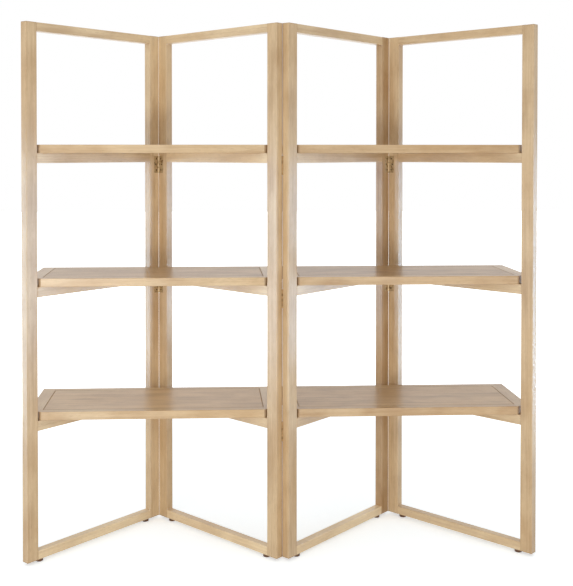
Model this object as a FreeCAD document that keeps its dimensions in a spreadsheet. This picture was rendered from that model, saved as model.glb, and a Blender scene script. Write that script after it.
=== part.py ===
import FreeCAD, Part
import math
import os
import re
import Sketcher

# A folding bookcase. Four identical timber frames stand in a zigzag and are joined by
# butt hinges. Each pair of frames opens to a V that carries three loose shelves.
# Millimetres. The origin is on the floor, at the middle of the plan. X runs along
# the width, Y from front to back, Z up.

DIMENSIONS = {
    # frames
    "frame_width": 600,
    "frame_height": 1819,
    "frame_thickness": 28.5,
    "stile_width": 44,
    "top_rail_height": 30,
    "bottom_rail_height": 30,
    "shelf_rail_height": 34,
    "edge_radius": 1.5,
    "tenon_length": 22,
    "tenon_thickness": 10,
    "tenon_shoulder": 5,
    "tenon_clearance": 0.1,
    "mortise_end_gap": 1,
    # stance: half of the opening between the two frames of each V, in degrees
    "fold_angle": 44.2,
    # shelves
    "first_shelf_height": 510.5,
    "shelf_pitch": 453.5,
    "shelf_thickness": 28.5,
    "shelf_side_gap": 10,
    "shelf_end_overhang": 34,
    "shelf_front_overlap": 2.8,
    "shelf_back_gap": 2,
    "end_border_width": 47,
    "front_border_width": 30,
    "back_border_width": 30,
    "groove_depth": 1.8,
    # butt hinges
    "hinge_height": 64,
    "hinge_drop": 71,
    "hinge_back_gap": 0.3,
    "hinge_front_gap": 0.2,
    "hinge_face_gap": 0.15,
    "leaf_reach": 24,
    "leaf_thickness": 2,
    "leaf_edge_gap": 0.1,
    "knuckle_radius": 3.4,
    "knuckle_side_gap": 0.4,
    "knuckle_joint_gap": 0.3,
    "pin_radius": 1.5,
    "pin_clearance": 0.05,
    "pin_head_radius": 3,
    "pin_head_height": 1.6,
    # wood screws of the hinges
    "screw_head_radius": 3,
    "screw_head_depth": 1.6,
    "screw_core_radius": 1.5,
    "screw_length": 14,
    "screw_tip_length": 3,
    "screw_clearance": 0.05,
    "screw_spacing": 21,
    "screw_middle_reach": 16,
    "screw_end_reach": 11,
    "screw_slot_width": 0.8,
    "screw_slot_depth": 0.6,
    # nailed glides
    "glide_radius": 12.5,
    "glide_height": 10,
    "glide_bevel": 1.5,
    "glide_inset": 14,
    "nail_radius": 1.2,
    "nail_length": 12,
    "nail_clearance": 0.05,
}

KNUCKLES = 5
LEVELS = ("lower", "middle", "upper")
UPRIGHT = FreeCAD.Vector(0, 0, 1)
LENGTHWISE = FreeCAD.Vector(1, 0, 0)
TOUCH = 0.001  # how near two places have to be to count as one

doc = FreeCAD.newDocument("folding_bookcase")
sheet = doc.addObject("Spreadsheet::Sheet", "Dims")
for row, (alias, value) in enumerate(DIMENSIONS.items(), start=1):
    sheet.set("A%d" % row, alias)
    sheet.set("B%d" % row, str(value))
    sheet.setAlias("B%d" % row, alias)
doc.recompute()


def from_sheet(text):
    """Point every dimension name in an expression at the spreadsheet."""
    def point(word):
        return "Dims." + word[0] if word[0] in DIMENSIONS else word[0]
    return re.sub(r"[a-z][a-z_]*", point, text)


def bind(thing, **expressions):
    """Bind properties to expressions in the names of the spreadsheet."""
    for name, text in expressions.items():
        thing.setExpression(name, from_sheet(text))


def place(thing, x="0", y="0", z="0", angle="0"):
    """Bind a placement: a turn about Z, then a move."""
    bind(thing, Placement="placement(vector(%s; %s; %s); rotation(vector(0; 0; 1); %s))" % (x, y, z, angle))


# ---------------------------------------------------------------- building blocks

def polygon(body, role, corners, offset=None):
    """A closed sketch on one of the body's origin planes, each corner bound to two expressions."""
    sketch = body.newObject("Sketcher::SketchObject", body.Name + "_sketch")
    plane = [item for item in body.Origin.OriginFeatures if item.Role == role][0]
    sketch.AttachmentSupport = [(plane, "")]
    sketch.MapMode = "FlatFace"
    if offset:
        sketch.setExpression(".AttachmentOffset.Base.z", from_sheet(offset))
    count = len(corners)
    step = 2 * math.pi / count
    ring = [FreeCAD.Vector(50 * math.cos(step * i), 50 * math.sin(step * i), 0) for i in range(count)]
    for i in range(count):
        sketch.addGeometry(Part.LineSegment(ring[i], ring[(i + 1) % count]), False)
    for i in range(count):
        sketch.addConstraint(Sketcher.Constraint("Coincident", i, 2, (i + 1) % count, 1))
    for i, (across, up) in enumerate(corners):
        for kind, start, text in (("DistanceX", ring[i].x, across), ("DistanceY", ring[i].y, up)):
            index = sketch.addConstraint(Sketcher.Constraint(kind, -1, 1, i, 1, start))
            sketch.setExpression("Constraints[%d]" % index, from_sheet(text))
    return sketch


def rectangle(low_x, high_x, low_y, high_y):
    return [(low_x, low_y), (high_x, low_y), (high_x, high_y), (low_x, high_y)]


def pad(body, sketch, length):
    feature = body.newObject("PartDesign::Pad", body.Name + "_pad")
    feature.Profile = sketch
    bind(feature, Length=length)
    return feature


def ease(body, base, kind, size, wanted):
    """Fillet or chamfer the edges of the base feature that the test wants."""
    doc.recompute()
    names = ["Edge%d" % (i + 1) for i, edge in enumerate(base.Shape.Edges) if wanted(edge)]
    feature = body.newObject("PartDesign::" + kind, body.Name + "_" + kind.lower())
    feature.Base = (base, names)
    bind(feature, **{"Radius" if kind == "Fillet" else "Size": size})
    return feature


def along(axis):
    """A test for straight edges that run along one axis."""
    def test(edge):
        run = edge.Vertexes[-1].Point - edge.Vertexes[0].Point
        return run.Length > 0 and abs(run.normalize().dot(axis)) > 0.999
    return test


def lying(edge):
    """A test for edges that don't stand upright."""
    return not along(UPRIGHT)(edge)


def on_top(edge):
    """A test for the top edges of a board that stands on Z = 0."""
    return min(corner.Z for corner in edge.Vertexes) > TOUCH


def revolve(name, role, corners, axis):
    body = doc.addObject("PartDesign::Body", name)
    sketch = polygon(body, role, corners)
    feature = body.newObject("PartDesign::Revolution", name + "_revolution")
    feature.Profile = sketch
    feature.ReferenceAxis = (sketch, [axis])
    feature.Angle = 360
    return body


def box(name, x, y, z, length, width, height):
    solid = doc.addObject("Part::Box", name)
    bind(solid, Length=length, Width=width, Height=height)
    place(solid, x, y, z)
    return solid


def cylinder(name, radius, height, x="0", y="0", z="0"):
    solid = doc.addObject("Part::Cylinder", name)
    bind(solid, Radius=radius, Height=height)
    place(solid, x, y, z)
    return solid


def group(name, items, **where):
    """A compound of shapes that stay separate solids."""
    compound = doc.addObject("Part::Compound", name)
    compound.Links = items
    place(compound, **where)
    return compound


def fuse(name, items):
    fusion = doc.addObject("Part::MultiFuse", name)
    fusion.Shapes = items
    return fusion


def cut(name, base, tool):
    result = doc.addObject("Part::Cut", name)
    result.Base = base
    result.Tool = tool
    return result


def common(name, first, second):
    result = doc.addObject("Part::Common", name)
    result.Base = first
    result.Tool = second
    return result


nodes = []


def node(name, items, **where):
    """A finished sub-part: its label names its file."""
    part = group(name, items, **where)
    part.Label = name
    nodes.append(part)


# ---------------------------------------------------------------- heights

def shelf_top(level):
    """Height of a shelf's top above the floor."""
    return "(first_shelf_height + %d * shelf_pitch)" % LEVELS.index(level)


def shelf_rail_bottom(level):
    return "(%s - shelf_thickness - shelf_rail_height)" % shelf_top(level)


def hinge_middle(level):
    return "(%s - hinge_drop)" % shelf_top(level)


# Every rail of a frame: its height in the frame, and its own height.
RAILS = {
    "bottom_rail": ("glide_height", "bottom_rail_height"),
    "top_rail": ("(glide_height + frame_height - top_rail_height)", "top_rail_height"),
}
for level in LEVELS:
    RAILS[level + "_shelf_rail"] = (shelf_rail_bottom(level), "shelf_rail_height")

# ---------------------------------------------------------------- hinge hardware
# Hinge parts are made about the pin's axis. A left-hand leaf lies on the +Y side of
# the pin and reaches along +X. A right-hand leaf is its mirror image.

HANDS = {"lefthand": 1, "righthand": -1}
OWN_KNUCKLES = {"lefthand": (1, 3), "righthand": (0, 2, 4)}
SCREWS = ((-1, "screw_end_reach"), (0, "screw_middle_reach"), (1, "screw_end_reach"))
KNUCKLE_HEIGHT = "((hinge_height - %d * knuckle_joint_gap) / %d)" % (KNUCKLES - 1, KNUCKLES)


def screw_profile(slack):
    """Half of a countersunk screw, head at the origin and tip along +Y."""
    return [
        ("0", "0"),
        ("screw_head_radius + %s" % slack, "0"),
        ("screw_core_radius + %s" % slack, "screw_head_depth + %s" % slack),
        ("screw_core_radius + %s" % slack, "screw_length - screw_tip_length + %s" % slack),
        ("0", "screw_length + %s" % slack),
    ]


screw_blank = revolve("screw_blank", "XY_Plane", screw_profile("0"), "V_Axis")
screw_slot = box("screw_slot", "-screw_head_radius", "0", "-screw_slot_width / 2",
                 "2 * screw_head_radius", "screw_slot_depth", "screw_slot_width")
screw = cut("screw", screw_blank, screw_slot)
screw_seat = revolve("screw_seat", "XY_Plane", screw_profile("screw_clearance"), "V_Axis")

pin = revolve("pin", "XZ_Plane", [
    ("0", "-hinge_height / 2 - pin_head_height"),
    ("pin_head_radius / 2", "-hinge_height / 2 - pin_head_height"),
    ("pin_head_radius", "-hinge_height / 2 - pin_head_height / 2"),
    ("pin_head_radius", "-hinge_height / 2"),
    ("pin_radius", "-hinge_height / 2"),
    ("pin_radius", "hinge_height / 2"),
    ("pin_head_radius", "hinge_height / 2"),
    ("pin_head_radius", "hinge_height / 2 + pin_head_height / 2"),
    ("pin_head_radius / 2", "hinge_height / 2 + pin_head_height"),
    ("0", "hinge_height / 2 + pin_head_height"),
], "V_Axis")


def leaf_side(hand, depth):
    """Lowest Y of a layer that starts at the leaf's open face and goes into the timber."""
    return "hinge_face_gap" if HANDS[hand] > 0 else "-hinge_face_gap - (%s)" % depth


def copies_at_screws(name, item, hand):
    """Three copies of a screw or of its seat, zigzagged over the leaf."""
    turn = "0" if HANDS[hand] > 0 else "180"
    face = "hinge_face_gap" if HANDS[hand] > 0 else "-hinge_face_gap"
    return group(name, [
        group("%s_%d" % (name, row + 1), [item], x=reach, y=face, z="%d * screw_spacing" % row, angle=turn)
        for row, reach in SCREWS
    ])


def copies_at_hinges(name, items):
    """The same items at each of the three hinges of a fold."""
    return group(name, [group("%s_%s" % (name, level), items, z=hinge_middle(level)) for level in LEVELS])


def hinge_leaf(hand, seats):
    """One leaf: a plate, its knuckles rolled round the pin, and countersunk holes."""
    clear = "(knuckle_radius + knuckle_side_gap)"
    pieces = [box(hand + "_plate", clear, leaf_side(hand, "leaf_thickness"), "-hinge_height / 2",
                  "leaf_reach - " + clear, "leaf_thickness", "hinge_height")]
    for index in OWN_KNUCKLES[hand]:
        low = "-hinge_height / 2 + %d * (%s + knuckle_joint_gap)" % (index, KNUCKLE_HEIGHT)
        tag = "%s_knuckle_%d" % (hand, index)
        pieces.append(cylinder(tag, "knuckle_radius", KNUCKLE_HEIGHT, z=low))
        pieces.append(box(tag + "_web", "0", leaf_side(hand, "leaf_thickness"), low,
                          clear, "leaf_thickness", KNUCKLE_HEIGHT))
    bore = cylinder(hand + "_bore", "pin_radius + pin_clearance", "hinge_height", z="-hinge_height / 2")
    drilled = fuse(hand + "_holes", [bore] + seats.Links)
    return cut(hand + "_leaf", fuse(hand + "_leaf_blank", pieces), drilled)


def hinge_pocket(hand, seats):
    """What a hinge takes out of a stile: the leaf's recess, the knuckles' notch and the screw holes."""
    notch = "(knuckle_radius + knuckle_side_gap)"
    recess = box(hand + "_recess", "0", leaf_side(hand, "leaf_thickness"),
                 "-hinge_height / 2 - leaf_edge_gap", "leaf_reach + leaf_edge_gap",
                 "leaf_thickness", "hinge_height + 2 * leaf_edge_gap")
    tall = "(hinge_height + 2 * (pin_head_height + knuckle_side_gap))"
    corner = box(hand + "_notch", "0", leaf_side(hand, notch + " - hinge_face_gap"), "-%s / 2" % tall,
                 notch, notch + " - hinge_face_gap", tall)
    return fuse(hand + "_pocket", [recess, corner] + seats.Links)


leaves = {}
screws = {}
pockets = {}
for hand in HANDS:
    seats = copies_at_screws(hand + "_seats", screw_seat, hand)
    leaves[hand] = copies_at_hinges(hand + "_leaves", [hinge_leaf(hand, seats)])
    pockets[hand] = copies_at_hinges(hand + "_pockets", [hinge_pocket(hand, seats)])
    screws[hand] = copies_at_hinges(hand + "_screws", [copies_at_screws(hand + "_screw_row", screw, hand)])
pins = copies_at_hinges("pins", [pin])

# ---------------------------------------------------------------- frame pieces
# A frame is made with its back end at X = 0, its front end at X = frame_width, and
# its middle plane at Y = 0, at its real height above the floor.

PIVOT_BESIDE = "(frame_thickness / 2 + hinge_face_gap)"


def rail(name, height):
    """A rail with eased edges and a tenon at each end, standing at Z = 0."""
    body = doc.addObject("PartDesign::Body", name)
    section = rectangle("-frame_thickness / 2", "frame_thickness / 2", "0", height)
    bar = pad(body, polygon(body, "YZ_Plane", section, "stile_width"), "frame_width - 2 * stile_width")
    ease(body, bar, "Fillet", "edge_radius", along(LENGTHWISE))
    start = "(stile_width - tenon_length)"
    section = rectangle("-tenon_thickness / 2", "tenon_thickness / 2",
                        "tenon_shoulder", "%s - tenon_shoulder" % height)
    pad(body, polygon(body, "YZ_Plane", section, start), "frame_width - 2 * %s" % start)
    return body


def mortise_tool():
    """One long bar at each rail, that cuts the mortises of both stiles."""
    start = "(stile_width - tenon_length - mortise_end_gap)"
    bars = []
    slack = "(tenon_shoulder - tenon_clearance)"
    for name, (low, height) in RAILS.items():
        bars.append(box(name + "_mortise", start, "-tenon_thickness / 2 - tenon_clearance",
                        "%s + %s" % (low, slack), "frame_width - 2 * " + start,
                        "tenon_thickness + 2 * tenon_clearance", "%s - 2 * %s" % (height, slack)))
    return bars


mortises = mortise_tool()


def eased_corners(blank, pin_x, pin_y):
    """A test for a blank's upright edges, apart from the one on the pin's sides of X and Y."""
    def test(edge):
        reach = edge.Vertexes[0].Point - blank.Shape.BoundBox.Center
        at_pin = reach.x * pin_x > 0 and reach.y * pin_y > 0
        return along(UPRIGHT)(edge) and not at_pin
    return test


def stile(name, start, end, hinge_tools, pin_x=0, pin_y=0):
    """A stile from X = start to X = end, mortised for the rails and cut for its hinges.

    The corner next to the hinge's pin stays sharp, so that two stiles meet closely there.
    """
    body = doc.addObject("PartDesign::Body", name + "_blank")
    section = rectangle(start, end, "-frame_thickness / 2", "frame_thickness / 2")
    blank = pad(body, polygon(body, "XY_Plane", section, "glide_height"), "frame_height")
    ease(body, blank, "Fillet", "edge_radius", eased_corners(blank, pin_x, pin_y))
    return cut(name, body, fuse(name + "_cuts", mortises + hinge_tools))


def back_stile(hand):
    beside = PIVOT_BESIDE if HANDS[hand] < 0 else "-" + PIVOT_BESIDE
    tool = group(hand + "_back_pockets", [pockets[hand]], x="-hinge_back_gap", y=beside)
    return stile(hand + "_back_stile", "0", "stile_width", [tool], -1, -HANDS[hand])


def front_stile(hand):
    beside = PIVOT_BESIDE if HANDS[hand] > 0 else "-" + PIVOT_BESIDE
    tool = group(hand + "_front_pockets", [pockets[hand]],
                 x="frame_width + hinge_front_gap", y=beside, angle="180")
    return stile(hand + "_front_stile", "frame_width - stile_width", "frame_width", [tool], 1, HANDS[hand])


plain_front_stile = stile("plain_front_stile", "frame_width - stile_width", "frame_width", [])
back_stiles = {hand: back_stile(hand) for hand in HANDS}
front_stiles = {hand: front_stile(hand) for hand in HANDS}

GLIDE_PLACES = ("(stile_width + glide_inset)", "(frame_width - stile_width - glide_inset)")
glide = revolve("glide", "XZ_Plane", [
    ("0", "0"),
    ("glide_radius - glide_bevel", "0"),
    ("glide_radius", "glide_bevel"),
    ("glide_radius", "glide_height"),
    ("nail_radius", "glide_height"),
    ("nail_radius", "glide_height + nail_length"),
    ("0", "glide_height + nail_length"),
], "V_Axis")
glides = group("glides", [group("glide_%d" % i, [glide], x=spot) for i, spot in enumerate(GLIDE_PLACES)])
nail_holes = fuse("nail_holes", [
    cylinder("nail_hole_%d" % i, "nail_radius + nail_clearance", "nail_length + nail_clearance", x=spot)
    for i, spot in enumerate(GLIDE_PLACES)
])

shelf_rail = rail("shelf_rail", "shelf_rail_height")
rails = {
    "bottom_rail": cut("drilled_rail", rail("bottom_bar", "bottom_rail_height"), nail_holes),
    "top_rail": rail("top_bar", "top_rail_height"),
}
for level in LEVELS:
    rails[level + "_shelf_rail"] = shelf_rail

# ---------------------------------------------------------------- stance
# Seen from above, a V's two frames leave its back pivot at fold_angle to either
# side. The two inner frames meet at the centre pivot, in front.

SPAN = "(hinge_back_gap + frame_width + hinge_front_gap)"
ASIDE = "(frame_thickness + 2 * hinge_face_gap)"
ACROSS = "(%s * sin(fold_angle) + %s * cos(fold_angle))" % (SPAN, ASIDE)
DEEP = "(%s * cos(fold_angle) - %s * sin(fold_angle))" % (SPAN, ASIDE)
PIVOTS = {
    "left": ("-%s" % ACROSS, "%s / 2" % DEEP),
    "right": (ACROSS, "%s / 2" % DEEP),
    "centre": ("0", "-%s / 2" % DEEP),
}

# Each frame: its back pivot, the direction of its X axis, and the hand of its hinges.
FRAMES = {
    "left_outer": ("left", "(-90 - fold_angle)", "righthand"),
    "left_inner": ("left", "(fold_angle - 90)", "lefthand"),
    "right_inner": ("right", "(-90 - fold_angle)", "righthand"),
    "right_outer": ("right", "(fold_angle - 90)", "lefthand"),
}


def frame_origin(frame):
    """Where a frame's own origin lies, so that its back pivot falls on the fold's axis."""
    side, angle, hand = FRAMES[frame]
    x, y = PIVOTS[side]
    beside = "(%d * %s)" % (HANDS[hand], PIVOT_BESIDE)
    return (
        "%s + hinge_back_gap * cos%s - %s * sin%s" % (x, angle, beside, angle),
        "%s + hinge_back_gap * sin%s + %s * cos%s" % (y, angle, beside, angle),
        angle,
    )


for frame, (side, angle, hand) in FRAMES.items():
    x, y, angle = frame_origin(frame)
    front = plain_front_stile if frame.endswith("outer") else front_stiles[hand]
    node(frame + "_back_stile", [back_stiles[hand]], x=x, y=y, angle=angle)
    node(frame + "_front_stile", [front], x=x, y=y, angle=angle)
    for name, (low, height) in RAILS.items():
        node("%s_%s" % (frame, name), [rails[name]], x=x, y=y, z=low, angle=angle)
    node(frame + "_glides", [glides], x=x, y=y, angle=angle)

# Each fold: its pivot, and per side the frame that the leaves sit on and a turn of
# the leaves about the pin. The pins stay with the right-hand leaves.
FOLDS = {
    "left_hinge": ("left", {"left_outer": "0", "left_inner": "0"}),
    "centre_hinge": ("centre", {"left_inner": "180", "right_inner": "180"}),
    "right_hinge": ("right", {"right_inner": "0", "right_outer": "0"}),
}
for fold, (side, sides) in FOLDS.items():
    x, y = PIVOTS[side]
    for frame, turn in sides.items():
        angle, hand = FRAMES[frame][1:]
        spin = "%s + %s" % (angle, turn)
        node("%s_%s_leaves" % (fold, frame), [leaves[hand]], x=x, y=y, angle=spin)
        node("%s_%s_screws" % (fold, frame), [screws[hand]], x=x, y=y, angle=spin)
    node(fold + "_pins", [pins], x=x, y=y)

# ---------------------------------------------------------------- shelves
# A shelf is made about its V's back pivot, forward along +Y, standing at Z = 0. Its
# front corners are clipped parallel to the front stiles' inner edges. Its back edge
# stays clear of the circle that the back stiles' corners sweep when a frame folds.

BACK = "(sqrt((hinge_back_gap + stile_width)^2 + (hinge_face_gap + frame_thickness)^2) + shelf_back_gap)"

# The clipped edge's line, its distance from the pivot along a frame, and the places
# of its two ends on that line: just over the frame's inner face, and past its outer one.
CLIP = "(hinge_back_gap + frame_width - stile_width - shelf_side_gap)"
CLIP_FRONT = "(hinge_face_gap + shelf_front_overlap)"
CLIP_END = "(hinge_face_gap + frame_thickness + shelf_end_overhang)"


def on_clip(spot):
    """X and Y of a place on the clipped edge's line."""
    return ("(%s * sin(fold_angle) + %s * cos(fold_angle))" % (CLIP, spot),
            "(%s * cos(fold_angle) - %s * sin(fold_angle))" % (CLIP, spot))


FRONT_HALF, FRONT_REACH = on_clip(CLIP_FRONT)
SHELF_HALF, END_REACH = on_clip(CLIP_END)
PANEL_HALF = "(%s - end_border_width)" % SHELF_HALF
PANEL_BACK = "(%s + back_border_width)" % BACK
PANEL_FRONT = "(%s - front_border_width)" % FRONT_REACH

shelf_blank = doc.addObject("PartDesign::Body", "shelf_blank")
outline = [
    ("-" + SHELF_HALF, BACK),
    (SHELF_HALF, BACK),
    (SHELF_HALF, END_REACH),
    (FRONT_HALF, FRONT_REACH),
    ("-" + FRONT_HALF, FRONT_REACH),
    ("-" + SHELF_HALF, END_REACH),
]
board = pad(shelf_blank, polygon(shelf_blank, "XY_Plane", outline), "shelf_thickness")
ease(shelf_blank, board, "Fillet", "edge_radius", lying)


def plan_box(name, low_x, high_x, low_y, high_y):
    return box(name, low_x, low_y, "0", "(%s) - (%s)" % (high_x, low_x),
               "(%s) - (%s)" % (high_y, low_y), "shelf_thickness")


BORDERS = {
    "left_end": ("-" + SHELF_HALF, "-" + PANEL_HALF, BACK, FRONT_REACH),
    "right_end": (PANEL_HALF, SHELF_HALF, BACK, FRONT_REACH),
    "back_edge": ("-" + PANEL_HALF, PANEL_HALF, BACK, PANEL_BACK),
    "front_edge": ("-" + PANEL_HALF, PANEL_HALF, PANEL_FRONT, FRONT_REACH),
}
borders = [common(name, shelf_blank, plan_box(name + "_zone", *zone)) for name, zone in BORDERS.items()]
edging = group("edging", borders)

# The panel inside the borders, with a small bevel all round its top that reads as a groove.
panel = doc.addObject("PartDesign::Body", "panel")
inside = rectangle("-" + PANEL_HALF, PANEL_HALF, PANEL_BACK, PANEL_FRONT)
field = pad(panel, polygon(panel, "XY_Plane", inside), "shelf_thickness")
ease(panel, field, "Chamfer", "groove_depth", on_top)

for bay in ("left", "right"):
    x, y = PIVOTS[bay]
    for level in LEVELS:
        low = "%s - shelf_thickness" % shelf_top(level)
        node("%s_%s_shelf_panel" % (bay, level), [panel], x=x, y=y, z=low, angle="180")
        node("%s_%s_shelf_edging" % (bay, level), [edging], x=x, y=y, z=low, angle="180")

# ---------------------------------------------------------------- check and export

doc.recompute()
for item in doc.Objects:
    if "Invalid" in item.State or "Error" in item.State:
        raise RuntimeError("%s failed: %s" % (item.Label, item.State))
for part in nodes:
    if part.Shape.isNull() or not part.Shape.isValid():
        raise RuntimeError("%s has no valid shape" % part.Label)
    if any(solid.Volume <= 0 for solid in part.Shape.Solids) or not part.Shape.Solids:
        raise RuntimeError("%s has no solid" % part.Label)

os.makedirs("parts", exist_ok=True)
for part in nodes:
    part.Shape.exportStep("parts/%s.step" % part.Label)

whole = FreeCAD.BoundBox()
for part in nodes:
    whole.add(part.Shape.BoundBox)
print("%d sub-parts, %.1f x %.1f x %.1f mm" % (len(nodes), whole.XLength, whole.YLength, whole.ZLength))
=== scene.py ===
import math
import random

import bmesh
import bpy
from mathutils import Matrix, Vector


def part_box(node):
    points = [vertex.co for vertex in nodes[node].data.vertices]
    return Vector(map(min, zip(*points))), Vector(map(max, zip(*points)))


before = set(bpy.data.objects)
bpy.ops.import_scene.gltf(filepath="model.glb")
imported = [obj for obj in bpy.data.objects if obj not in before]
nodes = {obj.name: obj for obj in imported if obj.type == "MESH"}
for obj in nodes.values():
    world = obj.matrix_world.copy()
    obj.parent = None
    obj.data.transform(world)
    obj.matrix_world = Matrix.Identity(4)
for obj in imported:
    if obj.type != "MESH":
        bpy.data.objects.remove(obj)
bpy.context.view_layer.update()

scene = bpy.context.scene
scene.view_settings.view_transform = "Standard"
white = (1.0, 1.0, 1.0, 1.0)


# small helpers for node trees

def addNode(tree, kind, **settings):
    made = tree.nodes.new(kind)
    for name, value in settings.items():
        setattr(made, name, value)
    return made


# gives a socket a value, or links another socket to it
def feed(tree, target, source):
    if isinstance(source, bpy.types.NodeSocket):
        tree.links.new(source, target)
    else:
        target.default_value = source


def mathNode(tree, operation, *values):
    made = addNode(tree, "ShaderNodeMath", operation=operation)
    for socket, value in zip(made.inputs, values):
        feed(tree, socket, value)
    return made.outputs[0]


def times(tree, first, second):
    return mathNode(tree, "MULTIPLY", first, second)


def addUp(tree, total, *values):
    for value in values:
        total = mathNode(tree, "ADD", total, value)
    return total


def vectorMath(tree, operation, *values):
    made = addNode(tree, "ShaderNodeVectorMath", operation=operation)
    for socket, value in zip(made.inputs, values):
        feed(tree, socket, value)
    return made.outputs["Value" if operation in ("LENGTH", "DOT_PRODUCT") else "Vector"]


def separate(tree, vector):
    made = addNode(tree, "ShaderNodeSeparateXYZ")
    feed(tree, made.inputs[0], vector)
    return made.outputs


def objectPlace(tree):
    return addNode(tree, "ShaderNodeTexCoord").outputs["Object"]


# brings a value's span from low to high to the span from toLow to toHigh
def remap(tree, value, low, high, toLow=0.0, toHigh=1.0, smooth=True):
    made = addNode(tree, "ShaderNodeMapRange", clamp=True)
    made.interpolation_type = "SMOOTHSTEP" if smooth else "LINEAR"
    names = ("Value", "From Min", "From Max", "To Min", "To Max")
    for name, item in zip(names, (value, low, high, toLow, toHigh)):
        feed(tree, made.inputs[name], item)
    return made.outputs["Result"]


def noise(tree, vector, scale, detail=2.0, roughness=0.5, seed=0.0):
    made = addNode(tree, "ShaderNodeTexNoise", noise_dimensions="4D")
    feed(tree, made.inputs["Vector"], vector)
    feed(tree, made.inputs["W"], seed)
    made.inputs["Scale"].default_value = scale
    made.inputs["Detail"].default_value = detail
    made.inputs["Roughness"].default_value = roughness
    return made.outputs["Fac"]


# a Mix node's colour and vector sockets share their names, so they are taken by number;
# where clamp is off, a factor below 0 or above 1 goes past the two colours
def mixColor(tree, factor, first, second, clamp=True):
    made = addNode(tree, "ShaderNodeMix", data_type="RGBA", clamp_factor=clamp)
    feed(tree, made.inputs[0], factor)
    feed(tree, made.inputs[6], first)
    feed(tree, made.inputs[7], second)
    return made.outputs[2]


def mixVector(tree, factor, first, second):
    made = addNode(tree, "ShaderNodeMix", data_type="VECTOR")
    feed(tree, made.inputs[0], factor)
    feed(tree, made.inputs[4], first)
    feed(tree, made.inputs[5], second)
    return made.outputs[1]


def newGroup(name, inputs, outputs):
    group = bpy.data.node_groups.new(name, "ShaderNodeTree")
    for label, kind in inputs:
        group.interface.new_socket(label, in_out="INPUT", socket_type="NodeSocket" + kind)
    for label, kind in outputs:
        group.interface.new_socket(label, in_out="OUTPUT", socket_type="NodeSocket" + kind)
    return group, addNode(group, "NodeGroupInput"), addNode(group, "NodeGroupOutput")


def useGroup(tree, group, values):
    made = addNode(tree, "ShaderNodeGroup", node_tree=group)
    for name, value in values.items():
        feed(tree, made.inputs[name], value)
    return made


def newMaterial(name):
    material = bpy.data.materials.new(name)
    material.use_nodes = True
    tree = material.node_tree
    return material, tree, tree.nodes["Principled BSDF"]


def addBump(tree, shader, height, strength, distance):
    relief = addNode(tree, "ShaderNodeBump")
    relief.inputs["Strength"].default_value = strength
    relief.inputs["Distance"].default_value = distance
    feed(tree, relief.inputs["Height"], height)
    feed(tree, shader.inputs["Normal"], relief.outputs["Normal"])


# lays a colour over a finished material, as far as its mask reaches
def layOver(material, mask, color):
    tree = material.node_tree
    socket = tree.nodes["Principled BSDF"].inputs["Base Color"]
    feed(tree, socket, mixColor(tree, mask, socket.links[0].from_socket, color))


def finish(name, material):
    slots = nodes[name].data.materials
    slots.clear()
    slots.append(material)


def middle(name):
    low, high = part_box(name)
    return (low + high) / 2


# an sRGB colour, 0 to 255, as a linear RGBA
def linear(red, green, blue):
    def channel(value):
        value /= 255
        return value / 12.92 if value <= 0.04045 else ((value + 0.055) / 1.055) ** 2.4
    return (channel(red), channel(green), channel(blue), 1.0)


# grain of a board: X runs along the fibres, and Pith is where the heart of the tree lay
grainLook = {
    # noises: scale per metre across the fibres, share of it along them, detail, roughness, seed shift
    "wander": (5.0, 0.22, 2.0, 0.45, 0.0),
    "ripple": (45.0, 0.12, 2.0, 0.5, 0.0),
    "clarity": (11.0, 0.30, 2.0, 0.5, 7.0),
    "patches": (20.0, 0.40, 3.0, 0.5, 0.0),
    "streaks": (110.0, 0.030, 3.0, 0.55, 0.0),
    "fibres": (800.0, 0.025, 2.0, 0.6, 0.0),
    "pores": (1400.0, 0.035, 1.0, 0.4, 0.0),
    "hue": (9.0, 0.25, 2.0, 0.5, 19.0),
    # where each noise starts to count, and where it counts in full
    "claritySpan": (0.38, 0.66),
    "softSpan": (0.32, 0.70),        # of patches and streaks
    "fibreSpan": (0.35, 0.65),
    "poreSpan": (0.60, 0.68),
    "hueSpan": (0.36, 0.66),
    "reliefSpan": (0.3, 0.7),        # of fibres, as they stand up in the bump
    # growth rings
    "ringWander": 0.030,             # how far they stray, in metres
    "ringRipple": 0.004,
    "latewoodSpan": (0.15, 0.85),    # where a ring's dark line sets in, in shares of the ring's width
    "latewoodEnd": (0.90, 1.0),
    "faintest": 0.25,                # strength of the least clear rings
    "poreStop": 0.6,                 # ring strength at which pores are fewest
    "fewestPores": 0.35,
    # how much each darkens the timber, and how high it stands
    "ringTone": 0.22,
    "streakTone": (-0.12, 0.26),
    "patchTone": (-0.22, 0.32),
    "fibreTone": (-0.06, 0.08),
    "fibreHeight": 0.35,
    "ringHeight": 0.25,
}


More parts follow.
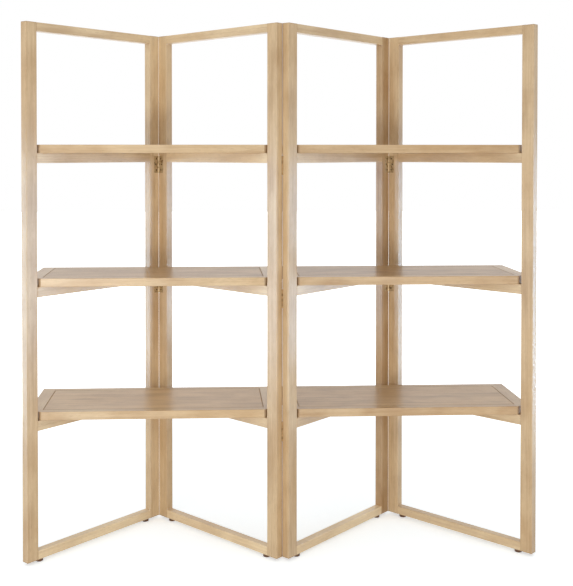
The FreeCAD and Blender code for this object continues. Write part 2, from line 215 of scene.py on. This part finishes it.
def makeGrainGroup():
    group, enter, leave = newGroup(
        "timberGrain",
        [("Vector", "Vector"), ("Pith", "Vector"), ("Ring Width", "Float"), ("Seed", "Float")],
        [("Tone", "Float"), ("Warmth", "Float"), ("Pores", "Float"), ("Height", "Float")])
    place, seed = enter.outputs["Vector"], enter.outputs["Seed"]
    look = grainLook

    def grainNoise(kind):
        scale, along, detail, roughness, shift = look[kind]
        stretched = vectorMath(group, "MULTIPLY", place, (along, 1.0, 1.0))
        return noise(group, stretched, scale, detail, roughness, addUp(group, seed, shift))

    # growth rings: the distance from the pith, wandering slowly along the board
    offset = vectorMath(group, "SUBTRACT", place, enter.outputs["Pith"])
    radius = vectorMath(group, "LENGTH", vectorMath(group, "MULTIPLY", offset, (0.0, 1.0, 1.0)))
    radius = addUp(group, radius, times(group, grainNoise("wander"), look["ringWander"]),
                   times(group, grainNoise("ripple"), look["ringRipple"]))
    ringPlace = mathNode(group, "FRACT", mathNode(group, "DIVIDE", radius, enter.outputs["Ring Width"]))
    rings = times(group, remap(group, ringPlace, *look["latewoodSpan"]),
                  remap(group, ringPlace, *look["latewoodEnd"], 1.0, 0.0))
    # rings are clear on some stretches and faint on others
    clarity = remap(group, grainNoise("clarity"), *look["claritySpan"], look["faintest"], 1.0)
    rings = times(group, rings, clarity)

    # pores keep to the open wood between the rings' dark lines
    openWood = remap(group, rings, 0.0, look["poreStop"], 1.0, look["fewestPores"])
    pores = times(group, remap(group, grainNoise("pores"), *look["poreSpan"]), openWood)

    # streaks, fibres and soft patches, long along the board and fine across it
    fibres = grainNoise("fibres")
    tone = addUp(group, times(group, rings, look["ringTone"]),
                 remap(group, grainNoise("streaks"), *look["softSpan"], *look["streakTone"]),
                 remap(group, grainNoise("patches"), *look["softSpan"], *look["patchTone"]),
                 remap(group, fibres, *look["fibreSpan"], *look["fibreTone"], smooth=False))
    relief = remap(group, fibres, *look["reliefSpan"], 0.0, look["fibreHeight"], smooth=False)
    height = addUp(group, mathNode(group, "SUBTRACT", relief, pores),
                   times(group, rings, look["ringHeight"]))
    feed(group, leave.inputs["Tone"], tone)
    feed(group, leave.inputs["Warmth"], remap(group, grainNoise("hue"), *look["hueSpan"]))
    feed(group, leave.inputs["Pores"], pores)
    feed(group, leave.inputs["Height"], height)
    return group


# mask of a piece's outer edges, where hands and cloths rub it; on the timber it also places a painted
# highlight along the rounded edges
edgeLook = {
    "turnSpan": (0.995, 0.86),    # cosine of the turn from the flat face to the rounded edge
    "breakUp": (35.0, 2.0),       # scale and detail of the noise that breaks the rub up
    "breakSpan": (0.35, 0.65),
    "leastRub": 0.35,
}


def makeEdgeGroup():
    group, enter, leave = newGroup(
        "rubbedAndLitEdges", [("Width", "Float"), ("Vector", "Vector")], [("Mask", "Float")])
    look = edgeLook
    rounded = addNode(group, "ShaderNodeBevel", samples=4)
    feed(group, rounded.inputs["Radius"], enter.outputs["Width"])
    flat = addNode(group, "ShaderNodeNewGeometry").outputs["Normal"]
    turn = vectorMath(group, "DOT_PRODUCT", rounded.outputs["Normal"], flat)
    breakUp = noise(group, enter.outputs["Vector"], *look["breakUp"])
    rub = remap(group, breakUp, *look["breakSpan"], look["leastRub"], 1.0)
    feed(group, leave.inputs["Mask"], times(group, remap(group, turn, *look["turnSpan"]), rub))
    return group


grainGroup = makeGrainGroup()
edgeGroup = makeEdgeGroup()
print("grain and edge groups made")

# timber finish, shared by every wooden piece and tinted piece by piece
timberLook = {
    "light": linear(217, 191, 152),
    "dark": linear(176, 142, 102),
    "warm": linear(203, 165, 114),
    "warmShare": 0.35,
    "pore": linear(134, 100, 68),
    "poreShare": 0.35,
    # paler edges: partly wear, partly a painted highlight where the rounded edges would catch the light
    "edgeWearHighlight": linear(226, 198, 160),
    "edgeWearHighlightShare": 0.25,
    "edgeMaskWidth": 0.0022,
    "endGrain": linear(128, 90, 54),
    "endGrainShare": 0.40,
    "endGrainFrom": 0.0035,    # distance from a board's end where end grain sets in, and where it is full
    "endGrainFull": 0.0005,
    "roughness": 0.28,
    "poreDull": 0.12,
    "endGrainDull": 0.30,
    "gloss": 0.5,
    "bump": 0.10,
    "bumpDepth": 0.0005,
}


# placeOn builds the place on the board, with X along its fibres, and the mask of its end grain
def makeTimber(name, placeOn, pith, ringWidth, seed, tint, look=timberLook):
    material, tree, shader = newMaterial(name)
    place, ends = placeOn(tree)
    grain = useGroup(tree, grainGroup, {"Vector": place, "Pith": pith, "Ring Width": ringWidth, "Seed": seed})
    edges = useGroup(tree, edgeGroup, {"Width": look["edgeMaskWidth"], "Vector": place})
    pores = grain.outputs["Pores"]
    tone = addUp(tree, grain.outputs["Tone"], tint)
    color = mixColor(tree, tone, look["light"], look["dark"], clamp=False)
    # the edge layer is wear and a painted highlight together
    layers = (("warm", grain.outputs["Warmth"]), ("pore", pores),
              ("edgeWearHighlight", edges.outputs["Mask"]), ("endGrain", ends))
    for layer, mask in layers:
        color = mixColor(tree, times(tree, mask, look[layer + "Share"]), color, look[layer])
    feed(tree, shader.inputs["Base Color"], color)
    dull = addUp(tree, times(tree, pores, look["poreDull"]), look["roughness"],
                 times(tree, ends, look["endGrainDull"]))
    feed(tree, shader.inputs["Roughness"], dull)
    shader.inputs["Specular IOR Level"].default_value = look["gloss"]
    addBump(tree, shader, grain.outputs["Height"], look["bump"], look["bumpDepth"])
    return material


# the object's coordinates, brought to a board's middle and turned to its fibres
def boardPlace(centre, turn, length):
    start, full = length / 2 - timberLook["endGrainFrom"], length / 2 - timberLook["endGrainFull"]

    def build(tree):
        mapping = addNode(tree, "ShaderNodeMapping", vector_type="TEXTURE")
        mapping.inputs["Location"].default_value = centre
        mapping.inputs["Rotation"].default_value = turn
        feed(tree, mapping.inputs["Vector"], objectPlace(tree))
        place = mapping.outputs["Vector"]
        reach = mathNode(tree, "ABSOLUTE", separate(tree, place)["X"])
        return place, remap(tree, reach, start, full)
    return build


# the four frames: upright fibres in the stiles, lengthwise ones in the rails
frameLook = {
    # degrees that each frame is turned about Z
    "turn": {"left_outer": -134.2, "left_inner": -45.8, "right_inner": -134.2, "right_outer": -45.8},
    "stile": {"ring": 0.0085, "pith": (0.05, 0.12), "length": 1.819, "tint": 0.15},
    "rail": {"ring": 0.0080, "pith": (0.04, 0.10), "length": 0.518, "tint": -0.12},
    "ringSpread": (0.8, 1.25),
    "tintSpread": 0.04,
    # per-board tints, paler below 0 and darker above, set by where each board stands in the light: painted
    # light and painted shade, such as painted shade on the right inner back stile deep in its fold and a
    # painted reflection on the pale bottom rails
    "tone": {
        "left_outer_back_stile": -0.32,
        "left_inner_back_stile": -0.16,
        "right_inner_back_stile": 0.55,
        "right_outer_back_stile": -0.14,
        "left_inner_front_stile": -0.04,
        "right_inner_front_stile": 0.04,
        "right_outer_front_stile": 0.08,
        "left_outer_bottom_rail": -0.64,
        "left_inner_bottom_rail": -0.64,
        "right_inner_bottom_rail": -0.84,
        "right_outer_bottom_rail": -0.14,
        "left_inner_upper_shelf_rail": -0.45,
        "right_outer_top_rail": 0.26,
    },
    # painted shade in the seam where the two inner frames meet
    "seamPaintedShade": linear(112, 62, 22),
    "seamShare": 0.60,
    "seamSpan": (0.001, 0.004),    # metres from the axis of the hinges
}
rails = ("bottom_rail", "lower_shelf_rail", "middle_shelf_rail", "upper_shelf_rail", "top_rail")
dice = random.Random(11)
seedSpan = (0.0, 60.0)


def finishBoard(name, turn, look):
    angle = dice.uniform(0.0, 2 * math.pi)
    reach = dice.uniform(*look["pith"])
    pith = (0.0, reach * math.cos(angle), reach * math.sin(angle))
    ringWidth = look["ring"] * dice.uniform(*frameLook["ringSpread"])
    seed = dice.uniform(*seedSpan)
    spread = frameLook["tintSpread"]
    tint = look["tint"] + dice.uniform(-spread, spread) + frameLook["tone"].get(name, 0.0)
    place = boardPlace(middle(name), turn, look["length"])
    finish(name, makeTimber(name + "_timber", place, pith, ringWidth, seed, tint))


# darkens the stile within a few millimetres of the hinges' axis: painted shade in the seam
def paintSeamShade(name, axis):
    material = nodes[name].data.materials[0]
    tree = material.node_tree
    aside = vectorMath(tree, "SUBTRACT", objectPlace(tree), tuple(axis))
    aside = vectorMath(tree, "MULTIPLY", aside, (1.0, 1.0, 0.0))
    distance = vectorMath(tree, "LENGTH", aside)
    mask = remap(tree, distance, *frameLook["seamSpan"], frameLook["seamShare"], 0.0)
    layOver(material, mask, frameLook["seamPaintedShade"])


for frameName, degrees in frameLook["turn"].items():
    along = math.radians(degrees)
    for stile in ("back_stile", "front_stile"):
        finishBoard(frameName + "_" + stile, (0.0, -math.pi / 2, along), frameLook["stile"])
    for rail in rails:
        finishBoard(frameName + "_" + rail, (0.0, 0.0, along), frameLook["rail"])
for frameName in ("left_inner", "right_inner"):
    paintSeamShade(frameName + "_front_stile", middle("centre_hinge_pins"))
print("frames finished")

# shelves: a veneered panel inside solid borders, whose end ones run from front to back
panelTimber = {**timberLook, "light": linear(212, 182, 144), "dark": linear(164, 132, 96),
               "warmShare": 0.25, "roughness": 0.30, "gloss": 0.30, "bump": 0.08}
shelfLook = {
    "panelRing": 0.012,
    "panelRingSpread": (0.9, 1.2),
    "panelPithAside": (-0.05, 0.05),
    "panelPithBelow": (0.05, 0.09),
    "panelTurn": (-0.01, 0.01),
    "panelFibres": 2.0,         # as long as this, so that no panel shows end grain
    # darker above 0; the middle panels are darkest, as painted shade from the shelves above them
    "panelTint": {"left_lower": -0.10, "left_middle": 0.30, "left_upper": 0.05,
                  "right_lower": 0.16, "right_middle": 0.62, "right_upper": 0.08},
    "borderRing": 0.0070,
    "borderPithAside": (0.03, 0.08),
    "borderPithBelow": (0.02, 0.06),
    "borderTint": {"left": 0.17, "right": 0.48},
    "endFacing": (0.55, 0.70),  # how squarely a face looks along the fibres, to show end grain
    "grooveWidth": 0.0045,
    "grooveCore": 0.4,          # its darkest part, as a share of its width
    # painted shade for the groove's recess
    "groovePaintedShade": linear(138, 102, 66),
    "grooveShare": 0.40,
    "grooveDull": 0.40,
}


# borders along the front and back have fibres along X, those at the ends along Y
def borderPlace(centre, joint):
    def build(tree):
        spot = vectorMath(tree, "SUBTRACT", objectPlace(tree), tuple(centre))
        parts = separate(tree, spot)
        swapped = addNode(tree, "ShaderNodeCombineXYZ")
        for socket, source in (("X", "Y"), ("Y", "X"), ("Z", "Z")):
            feed(tree, swapped.inputs[socket], parts[source])
        atEnd = mathNode(tree, "GREATER_THAN", mathNode(tree, "ABSOLUTE", parts["X"]), joint)
        place = mixVector(tree, atEnd, spot, swapped.outputs["Vector"])
        facing = separate(tree, addNode(tree, "ShaderNodeTexCoord").outputs["Normal"])
        acrossFibres = times(tree, mathNode(tree, "ABSOLUTE", facing["Y"]), atEnd)
        return place, remap(tree, acrossFibres, *shelfLook["endFacing"])
    return build


# painted shade in the groove round the panel's top, where dust and lacquer also make it rougher
def paintGrooveShade(material, low, high):
    tree = material.node_tree
    centre, half = (low + high) / 2, (high - low) / 2
    width = shelfLook["grooveWidth"]
    core = width * shelfLook["grooveCore"]
    spot = vectorMath(tree, "SUBTRACT", objectPlace(tree), tuple(centre))
    parts = separate(tree, vectorMath(tree, "ABSOLUTE", spot))
    nearX = remap(tree, parts["X"], half.x - width, half.x - core)
    nearY = remap(tree, parts["Y"], half.y - width, half.y - core)
    nearEdge = mathNode(tree, "MAXIMUM", nearX, nearY)
    layOver(material, times(tree, nearEdge, shelfLook["grooveShare"]), shelfLook["groovePaintedShade"])
    roughness = tree.nodes["Principled BSDF"].inputs["Roughness"]
    dull = times(tree, nearEdge, shelfLook["grooveDull"])
    feed(tree, roughness, addUp(tree, roughness.links[0].from_socket, dull))


def finishShelf(bay, level):
    look = shelfLook
    shelf = bay + "_" + level + "_shelf"
    low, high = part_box(shelf + "_panel")
    pith = (0.0, dice.uniform(*look["panelPithAside"]), -dice.uniform(*look["panelPithBelow"]))
    turn = (0.0, 0.0, dice.uniform(*look["panelTurn"]))
    ringWidth = look["panelRing"] * dice.uniform(*look["panelRingSpread"])
    veneer = makeTimber(
        shelf + "_veneer", boardPlace(middle(shelf + "_panel"), turn, look["panelFibres"]),
        pith, ringWidth, dice.uniform(*seedSpan), look["panelTint"][bay + "_" + level], panelTimber)
    paintGrooveShade(veneer, low, high)
    finish(shelf + "_panel", veneer)
    pith = (0.0, dice.uniform(*look["borderPithAside"]), -dice.uniform(*look["borderPithBelow"]))
    finish(shelf + "_edging", makeTimber(
        shelf + "_border", borderPlace(middle(shelf + "_edging"), (high.x - low.x) / 2),
        pith, look["borderRing"], dice.uniform(*seedSpan), look["borderTint"][bay]))


for bay in ("left", "right"):
    for level in ("lower", "middle", "upper"):
        finishShelf(bay, level)
print("shelves finished")

# brass hinges and their darker screws; those of the centre fold are darker and browner
brassLook = {
    # agedSpan: lower numbers leave less of the bright metal
    "hinge": {"bright": linear(196, 174, 140), "aged": linear(140, 114, 80),
              "agedSpan": (0.46, 0.72), "seed": 3.0},
    "centre_hinge": {"bright": linear(168, 136, 98), "aged": linear(112, 88, 62),
                     "agedSpan": (0.42, 0.70), "seed": 5.0},
    "screw": {"bright": linear(96, 80, 60), "aged": linear(44, 34, 26),
              "agedSpan": (0.30, 0.64), "seed": 8.0},
    "cloud": (90.0, 3.0, 0.6),       # noises: scale, detail, roughness
    "brushing": (1600.0, 2.0, 0.6),
    "brushStretch": (1.0, 1.0, 0.04),
    "edgeMaskWidth": 0.0008,
    "roughness": 0.46,
    "agedDull": 0.22,
    "brushDull": 0.12,
    "bump": 0.10,
    "bumpDepth": 0.0003,
}


def makeBrass(kind):
    tones, look = brassLook[kind], brassLook
    material, tree, shader = newMaterial(kind + "_brass")
    place = objectPlace(tree)
    cloud = noise(tree, place, *look["cloud"], tones["seed"])
    drawn = vectorMath(tree, "MULTIPLY", place, look["brushStretch"])
    brushed = noise(tree, drawn, *look["brushing"], tones["seed"])
    edges = useGroup(tree, edgeGroup, {"Width": look["edgeMaskWidth"], "Vector": place})
    age = times(tree, remap(tree, cloud, *tones["agedSpan"]),
                mathNode(tree, "SUBTRACT", 1.0, edges.outputs["Mask"]))
    feed(tree, shader.inputs["Base Color"], mixColor(tree, age, tones["bright"], tones["aged"]))
    shader.inputs["Metallic"].default_value = 1.0
    rough = addUp(tree, times(tree, age, look["agedDull"]), look["roughness"],
                  times(tree, brushed, look["brushDull"]))
    feed(tree, shader.inputs["Roughness"], rough)
    addBump(tree, shader, brushed, look["bump"], look["bumpDepth"])
    return material


hingeBrass, centreBrass, screwBrass = (makeBrass(kind) for kind in ("hinge", "centre_hinge", "screw"))
for name in nodes:
    if name.endswith(("_leaves", "_pins")):
        finish(name, centreBrass if name.startswith("centre") else hingeBrass)
    if name.endswith("_screws"):
        finish(name, screwBrass)
print("hinges finished")

# glides, moulded in dark brown and scuffed where they slide
glideLook = {
    "brown": linear(92, 58, 32),
    "scuffed": linear(130, 92, 60),
    "scuffs": (160.0, 3.0, 0.6, 5.0),    # noises: scale, detail, roughness, seed
    "mould": (1800.0, 1.0, 0.5, 2.0),
    "scuffSpan": (0.45, 0.65),
    "scuffHeight": 0.004,                # metres above the floor
    "scuffBelow": 0.9,
    "scuffAbove": 0.1,
    "scuffDull": 0.2,
    "roughness": 0.45,
    "bump": 0.25,
    "bumpDepth": 0.0002,
}


def makeMoulded(name):
    look = glideLook
    material, tree, shader = newMaterial(name)
    place = objectPlace(tree)
    height = separate(tree, place)["Z"]
    low = remap(tree, height, 0.0, look["scuffHeight"], look["scuffBelow"], look["scuffAbove"])
    scuffs = times(tree, remap(tree, noise(tree, place, *look["scuffs"]), *look["scuffSpan"]), low)
    feed(tree, shader.inputs["Base Color"], mixColor(tree, scuffs, look["brown"], look["scuffed"]))
    rough = addUp(tree, times(tree, scuffs, look["scuffDull"]), look["roughness"])
    feed(tree, shader.inputs["Roughness"], rough)
    addBump(tree, shader, noise(tree, place, *look["mould"]), look["bump"], look["bumpDepth"])
    return material


glideBrown = makeMoulded("glide_brown")
for name in nodes:
    if name.endswith("_glides"):
        finish(name, glideBrown)
print("glides finished")

# a pale paper floor, which fades to plain white away from the object, in a white room
stageLook = {
    "floorSize": 40.0,
    "floorColor": (0.80, 0.80, 0.80, 1.0),    # as the object is lit by it
    "floorSeen": (0.87, 0.95, 1.00, 1.0),     # as it is looked at
    "floorLift": 0.46,                        # brings the lit floor to white and keeps its shadows
    "fadeSpan": (1.3, 2.4),                   # metres from the object's middle
    "ambient": 0.70,
}


# 1 for rays from the camera, mirrors and glass, which see the plain white background
def lookedAt(tree):
    path = addNode(tree, "ShaderNodeLightPath")
    seen = mathNode(tree, "MAXIMUM", path.outputs["Is Camera Ray"], path.outputs["Is Glossy Ray"])
    return mathNode(tree, "MAXIMUM", seen, path.outputs["Is Transmission Ray"])


def makeFloor():
    shape = bmesh.new()
    bmesh.ops.create_grid(shape, x_segments=1, y_segments=1, size=stageLook["floorSize"] / 2)
    mesh = bpy.data.meshes.new("floor")
    shape.to_mesh(mesh)
    shape.free()
    floor = bpy.data.objects.new("floor", mesh)
    scene.collection.objects.link(floor)
    material, tree, shader = newMaterial("floor_paper")
    away = remap(tree, vectorMath(tree, "LENGTH", objectPlace(tree)), *stageLook["fadeSpan"])
    lift = remap(tree, away, 0.0, 1.0, stageLook["floorLift"], 1.0, smooth=False)
    seen = lookedAt(tree)
    paper = mixColor(tree, seen, stageLook["floorColor"], stageLook["floorSeen"])
    feed(tree, shader.inputs["Base Color"], paper)
    shader.inputs["Roughness"].default_value = 1.0
    shader.inputs["Specular IOR Level"].default_value = 0.0
    shader.inputs["Emission Color"].default_value = white
    feed(tree, shader.inputs["Emission Strength"], times(tree, seen, lift))
    mesh.materials.append(material)


def makeWorld():
    world = bpy.data.worlds.new("white_room")
    scene.world = world
    world.use_nodes = True
    tree = world.node_tree
    background = tree.nodes["Background"]
    background.inputs["Color"].default_value = white
    strength = remap(tree, lookedAt(tree), 0.0, 1.0, stageLook["ambient"], 1.0, smooth=False)
    feed(tree, background.inputs["Strength"], strength)


makeFloor()
makeWorld()
print("floor and world made")

# softboxes light everything, and strips lend their light to reflections alone
neutral, cool = (1.0, 1.0, 1.0), (0.64, 0.92, 1.25)
softboxes = {
    "key_softbox": {"at": (-2.06, -3.43, 2.0), "aim": (0.0, 0.0, 0.9), "size": (1.4, 1.4), "power": 11.0},
    "low_softbox": {"at": (-1.5, -3.4, 0.45), "aim": (0.0, 0.0, 0.6), "size": (1.6, 0.8), "power": 32.0},
    "floor_softbox": {"at": (1.3, -2.8, 0.35), "aim": (0.0, 0.0, 0.2), "size": (1.6, 0.6), "power": 8.0},
}
# strips stand upright at the sides of the object and face straight across it
strips = {
    "left_front_strip": {"at": (-2.6, -0.44, 0.70), "size": (0.40, 1.39), "power": 15.0},
    "left_back_strip": {"at": (-2.6, 0.36, 0.70), "size": (0.26, 1.39), "power": 12.0},
    "right_front_strip": {"at": (2.6, -0.62, 0.70), "size": (0.45, 1.39), "power": 22.0},
    "right_middle_strip": {"at": (2.6, -0.09, 0.70), "size": (0.30, 1.39), "power": 16.0},
    "right_back_strip": {"at": (2.6, 0.72, 0.70), "size": (0.30, 1.39), "power": 12.5},
}


def addLamp(name, lamp, aim, tint, lightsAll):
    light = bpy.data.lights.new(name, "AREA")
    light.shape = "RECTANGLE"
    light.size, light.size_y = lamp["size"]
    light.energy = lamp["power"]
    light.color = tint
    holder = bpy.data.objects.new(name, light)
    scene.collection.objects.link(holder)
    holder.location = lamp["at"]
    holder.rotation_euler = (Vector(aim) - Vector(lamp["at"])).to_track_quat("-Z", "Y").to_euler()
    holder.visible_camera = False
    holder.visible_diffuse = lightsAll


for name, lamp in softboxes.items():
    addLamp(name, lamp, lamp["aim"], neutral, True)
for name, lamp in strips.items():
    addLamp(name, lamp, (0.0, *lamp["at"][1:]), cool, False)
print("lamps made")

# the camera; focal length and principal point are in pixels of a render of this size
view = {
    "place": (-0.2498, -3.5387, 1.3869),
    "yaw": 2.655,         # degrees to the right of straight ahead
    "pitch": -0.926,      # degrees above level
    "focal": 984.2,
    "principal": (254.38, 169.57),
    "pixels": (573, 586),
    "sensor": 36.0,       # millimetres
    "farthest": 60.0,     # metres
}


def addCamera():
    lens = bpy.data.cameras.new("camera")
    camera = bpy.data.objects.new("camera", lens)
    scene.collection.objects.link(camera)
    scene.camera = camera
    wide, tall = view["pixels"]
    longSide = max(wide, tall)
    lens.sensor_width = view["sensor"]
    lens.lens = view["focal"] / longSide * view["sensor"]
    lens.shift_x = (wide / 2 - view["principal"][0]) / longSide
    lens.shift_y = (view["principal"][1] - tall / 2) / longSide
    lens.clip_end = view["farthest"]
    camera.location = view["place"]
    camera.rotation_euler = (math.radians(90 + view["pitch"]), 0.0, math.radians(-view["yaw"]))


addCamera()
print("camera made")
